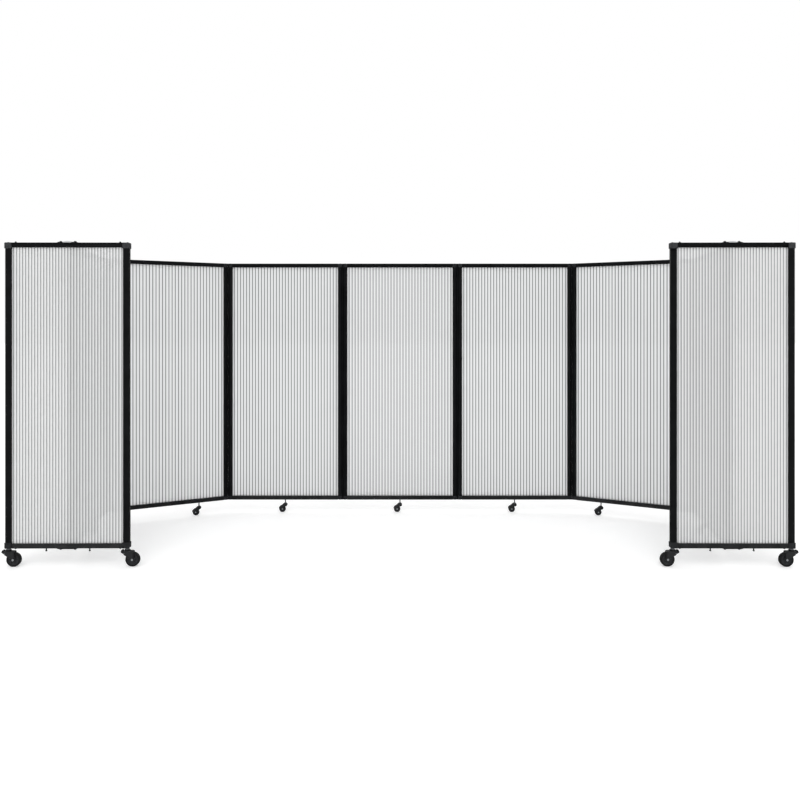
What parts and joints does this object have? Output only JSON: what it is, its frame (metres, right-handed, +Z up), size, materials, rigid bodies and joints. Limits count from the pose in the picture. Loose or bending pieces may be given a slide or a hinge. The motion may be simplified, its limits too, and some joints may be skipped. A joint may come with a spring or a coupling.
{
  "type": "folding room divider",
  "caption": "Folding wheeled room divider of translucent fluted panels in slim black frames with hinge links and an end frame on locking casters at each end.",
  "frame": {"origin": "on the floor, under the middle of the whole plan", "axes": "+X along the middle panels to the viewer's right, +Y away from the viewer, +Z up"},
  "size_m": [4.4832, 1.2646, 1.8351],
  "materials": {
    "black_aluminium": "satin black powder coat on aluminium extrusions",
    "black_steel": "satin black coated steel",
    "corner_nylon": "dark grey moulded nylon",
    "fluted_polycarbonate": "frosted translucent twin-skin sheet with upright channels",
    "fork_plastic": "black moulded plastic",
    "wheel_rubber": "black rubber tread on a plastic core"
  },
  "bodies": {
    "wall_1": {"wall_1_frame": "black_aluminium", "wall_1_corners": "corner_nylon", "wall_1_sheet": "fluted_polycarbonate"},
    "wall_2": {"wall_2_frame": "black_aluminium", "wall_2_corners": "corner_nylon", "wall_2_sheet": "fluted_polycarbonate"},
    "wall_3": {"wall_3_frame": "black_aluminium", "wall_3_corners": "corner_nylon", "wall_3_sheet": "fluted_polycarbonate"},
    "wall_4": {"wall_4_frame": "black_aluminium", "wall_4_corners": "corner_nylon", "wall_4_sheet": "fluted_polycarbonate"},
    "wall_5": {"wall_5_frame": "black_aluminium", "wall_5_corners": "corner_nylon", "wall_5_sheet": "fluted_polycarbonate"},
    "wall_6": {"wall_6_frame": "black_aluminium", "wall_6_corners": "corner_nylon", "wall_6_sheet": "fluted_polycarbonate"},
    "wall_7": {"wall_7_frame": "black_aluminium", "wall_7_corners": "corner_nylon", "wall_7_sheet": "fluted_polycarbonate"},
    "link_12": {"link_12": "black_steel"},
    "link_23": {"link_23": "black_steel"},
    "link_34": {"link_34": "black_steel"},
    "link_45": {"link_45": "black_steel"},
    "link_56": {"link_56": "black_steel"},
    "link_67": {"link_67": "black_steel"},
    "end_left": {"end_left_frame": "black_aluminium", "end_left_fittings": "corner_nylon", "end_left_sheet": "fluted_polycarbonate"},
    "end_right": {"end_right_frame": "black_aluminium", "end_right_fittings": "corner_nylon", "end_right_sheet": "fluted_polycarbonate"},
    "small_caster_1": {"small_fork_1": "fork_plastic"},
    "small_wheel_1": {"small_wheel_1": "wheel_rubber"},
    "small_caster_2": {"small_fork_2": "fork_plastic"},
    "small_wheel_2": {"small_wheel_2": "wheel_rubber"},
    "small_caster_3": {"small_fork_3": "fork_plastic"},
    "small_wheel_3": {"small_wheel_3": "wheel_rubber"},
    "small_caster_4": {"small_fork_4": "fork_plastic"},
    "small_wheel_4": {"small_wheel_4": "wheel_rubber"},
    "small_caster_5": {"small_fork_5": "fork_plastic"},
    "small_wheel_5": {"small_wheel_5": "wheel_rubber"},
    "small_caster_6": {"small_fork_6": "fork_plastic"},
    "small_wheel_6": {"small_wheel_6": "wheel_rubber"},
    "small_caster_7": {"small_fork_7": "fork_plastic"},
    "small_wheel_7": {"small_wheel_7": "wheel_rubber"},
    "large_caster_1": {"large_fork_1": "black_steel"},
    "large_wheel_1": {"large_wheel_1": "wheel_rubber"},
    "brake_1": {"brake_1": "fork_plastic"},
    "large_caster_2": {"large_fork_2": "black_steel"},
    "large_wheel_2": {"large_wheel_2": "wheel_rubber"},
    "brake_2": {"brake_2": "fork_plastic"},
    "large_caster_3": {"large_fork_3": "black_steel"},
    "large_wheel_3": {"large_wheel_3": "wheel_rubber"},
    "brake_3": {"brake_3": "fork_plastic"},
    "large_caster_4": {"large_fork_4": "black_steel"},
    "large_wheel_4": {"large_wheel_4": "wheel_rubber"},
    "brake_4": {"brake_4": "fork_plastic"}
  },
  "joints": [
    {"name": "link_34_pivot", "type": "hinge", "parent": "wall_4", "child": "link_34", "pos_m": [-0.401, 0.61664, 0.954], "axis": [0, 0, 1], "range_deg": [-90, 90]},
    {"name": "wall_3_pivot", "type": "hinge", "parent": "link_34", "child": "wall_3", "pos_m": [-0.437, 0.61664, 0.954], "axis": [0, 0, -1], "range_deg": [-90, 90]},
    {"name": "link_23_pivot", "type": "hinge", "parent": "wall_3", "child": "link_23", "pos_m": [-1.239, 0.61664, 0.954], "axis": [0, 0, 1], "range_deg": [-103.5, 76.5]},
    {"name": "wall_2_pivot", "type": "hinge", "parent": "link_23", "child": "wall_2", "pos_m": [-1.27401, 0.60824, 0.954], "axis": [0, 0, -1], "range_deg": [-76.5, 103.5]},
    {"name": "link_12_pivot", "type": "hinge", "parent": "wall_2", "child": "link_12", "pos_m": [-1.98859, 0.24414, 0.954], "axis": [0, 0, 1], "range_deg": [-126.2, 53.8]},
    {"name": "wall_1_pivot", "type": "hinge", "parent": "link_12", "child": "wall_1", "pos_m": [-2.00482, 0.212, 0.954], "axis": [0, 0, -1], "range_deg": [-53.8, 126.2]},
    {"name": "link_45_pivot", "type": "hinge", "parent": "wall_4", "child": "link_45", "pos_m": [0.401, 0.61664, 0.954], "axis": [0, 0, 1], "range_deg": [-90, 90]},
    {"name": "wall_5_pivot", "type": "hinge", "parent": "link_45", "child": "wall_5", "pos_m": [0.437, 0.61664, 0.954], "axis": [0, 0, -1], "range_deg": [-90, 90]},
    {"name": "link_56_pivot", "type": "hinge", "parent": "wall_5", "child": "link_56", "pos_m": [1.239, 0.61664, 0.954], "axis": [0, 0, 1], "range_deg": [-76.5, 103.5]},
    {"name": "wall_6_pivot", "type": "hinge", "parent": "link_56", "child": "wall_6", "pos_m": [1.27401, 0.60824, 0.954], "axis": [0, 0, -1], "range_deg": [-103.5, 76.5]},
    {"name": "link_67_pivot", "type": "hinge", "parent": "wall_6", "child": "link_67", "pos_m": [1.98859, 0.24414, 0.954], "axis": [0, 0, 1], "range_deg": [-53.8, 126.2]},
    {"name": "wall_7_pivot", "type": "hinge", "parent": "link_67", "child": "wall_7", "pos_m": [2.00482, 0.212, 0.954], "axis": [0, 0, -1], "range_deg": [-126.2, 53.8]},
    {"name": "end_left_pivot", "type": "hinge", "parent": "wall_1", "child": "end_left", "pos_m": [-1.87384, -0.57923, 0.954], "axis": [0, 0, 1], "range_deg": [-81.1, 98.9]},
    {"name": "end_right_pivot", "type": "hinge", "parent": "wall_7", "child": "end_right", "pos_m": [1.87384, -0.57923, 0.954], "axis": [0, 0, 1], "range_deg": [-98.9, 81.1]},
    {"name": "brake_1_press", "type": "hinge", "parent": "large_caster_1", "child": "brake_1", "pos_m": [-2.22254, -0.61512, 0.074], "axis": [0.0087, -1, 0], "range_deg": [0, 14]},
    {"name": "brake_2_press", "type": "hinge", "parent": "large_caster_2", "child": "brake_2", "pos_m": [-1.55456, -0.60929, 0.074], "axis": [0.0087, -1, 0], "range_deg": [0, 14]},
    {"name": "brake_3_press", "type": "hinge", "parent": "large_caster_3", "child": "brake_3", "pos_m": [1.55456, -0.60929, 0.074], "axis": [0.0087, 1, 0], "range_deg": [0, 14]},
    {"name": "brake_4_press", "type": "hinge", "parent": "large_caster_4", "child": "brake_4", "pos_m": [2.22254, -0.61512, 0.074], "axis": [0.0087, 1, 0], "range_deg": [0, 14]},
    {"name": "large_caster_1_swivel", "type": "hinge", "parent": "end_left", "child": "large_caster_1", "pos_m": [-2.20754, -0.61499, 0.1], "axis": [0, 0, 1], "continuous": true},
    {"name": "large_caster_2_swivel", "type": "hinge", "parent": "end_left", "child": "large_caster_2", "pos_m": [-1.53956, -0.60916, 0.1], "axis": [0, 0, 1], "continuous": true},
    {"name": "large_caster_3_swivel", "type": "hinge", "parent": "end_right", "child": "large_caster_3", "pos_m": [1.53956, -0.60916, 0.1], "axis": [0, 0, 1], "continuous": true},
    {"name": "large_caster_4_swivel", "type": "hinge", "parent": "end_right", "child": "large_caster_4", "pos_m": [2.20754, -0.61499, 0.1], "axis": [0, 0, 1], "continuous": true},
    {"name": "large_wheel_1_spin", "type": "hinge", "parent": "large_caster_1", "child": "large_wheel_1", "pos_m": [-2.17654, -0.61472, 0.04], "axis": [-0.0087, 1, 0], "continuous": true},
    {"name": "large_wheel_2_spin", "type": "hinge", "parent": "large_caster_2", "child": "large_wheel_2", "pos_m": [-1.50856, -0.60889, 0.04], "axis": [-0.0087, 1, 0], "continuous": true},
    {"name": "large_wheel_3_spin", "type": "hinge", "parent": "large_caster_3", "child": "large_wheel_3", "pos_m": [1.50856, -0.60889, 0.04], "axis": [-0.0087, -1, 0], "continuous": true},
    {"name": "large_wheel_4_spin", "type": "hinge", "parent": "large_caster_4", "child": "large_wheel_4", "pos_m": [2.17654, -0.61472, 0.04], "axis": [-0.0087, -1, 0], "continuous": true},
    {"name": "small_caster_1_swivel", "type": "hinge", "parent": "wall_1", "child": "small_caster_1", "pos_m": [-1.97355, 0.02307, 0.08], "axis": [0, 0, 1], "continuous": true},
    {"name": "small_caster_2_swivel", "type": "hinge", "parent": "wall_2", "child": "small_caster_2", "pos_m": [-1.44463, 0.5213, 0.08], "axis": [0, 0, 1], "continuous": true},
    {"name": "small_caster_3_swivel", "type": "hinge", "parent": "wall_3", "child": "small_caster_3", "pos_m": [-0.838, 0.61664, 0.08], "axis": [0, 0, 1], "continuous": true},
    {"name": "small_caster_4_swivel", "type": "hinge", "parent": "wall_4", "child": "small_caster_4", "pos_m": [0, 0.61664, 0.08], "axis": [0, 0, 1], "continuous": true},
    {"name": "small_caster_5_swivel", "type": "hinge", "parent": "wall_5", "child": "small_caster_5", "pos_m": [0.838, 0.61664, 0.08], "axis": [0, 0, 1], "continuous": true},
    {"name": "small_caster_6_swivel", "type": "hinge", "parent": "wall_6", "child": "small_caster_6", "pos_m": [1.44463, 0.5213, 0.08], "axis": [0, 0, 1], "continuous": true},
    {"name": "small_caster_7_swivel", "type": "hinge", "parent": "wall_7", "child": "small_caster_7", "pos_m": [1.97355, 0.02307, 0.08], "axis": [0, 0, 1], "continuous": true},
    {"name": "small_wheel_1_spin", "type": "hinge", "parent": "small_caster_1", "child": "small_wheel_1", "pos_m": [-1.99455, 0.02307, 0.0235], "axis": [0, 1, 0], "continuous": true},
    {"name": "small_wheel_2_spin", "type": "hinge", "parent": "small_caster_2", "child": "small_wheel_2", "pos_m": [-1.46563, 0.5213, 0.0235], "axis": [0, 1, 0], "continuous": true},
    {"name": "small_wheel_3_spin", "type": "hinge", "parent": "small_caster_3", "child": "small_wheel_3", "pos_m": [-0.859, 0.61664, 0.0235], "axis": [0, 1, 0], "continuous": true},
    {"name": "small_wheel_4_spin", "type": "hinge", "parent": "small_caster_4", "child": "small_wheel_4", "pos_m": [-0.021, 0.61664, 0.0235], "axis": [0, 1, 0], "continuous": true},
    {"name": "small_wheel_5_spin", "type": "hinge", "parent": "small_caster_5", "child": "small_wheel_5", "pos_m": [0.817, 0.61664, 0.0235], "axis": [0, 1, 0], "continuous": true},
    {"name": "small_wheel_6_spin", "type": "hinge", "parent": "small_caster_6", "child": "small_wheel_6", "pos_m": [1.42363, 0.5213, 0.0235], "axis": [0, 1, 0], "continuous": true},
    {"name": "small_wheel_7_spin", "type": "hinge", "parent": "small_caster_7", "child": "small_wheel_7", "pos_m": [1.95255, 0.02307, 0.0235], "axis": [0, 1, 0], "continuous": true}
  ]
}
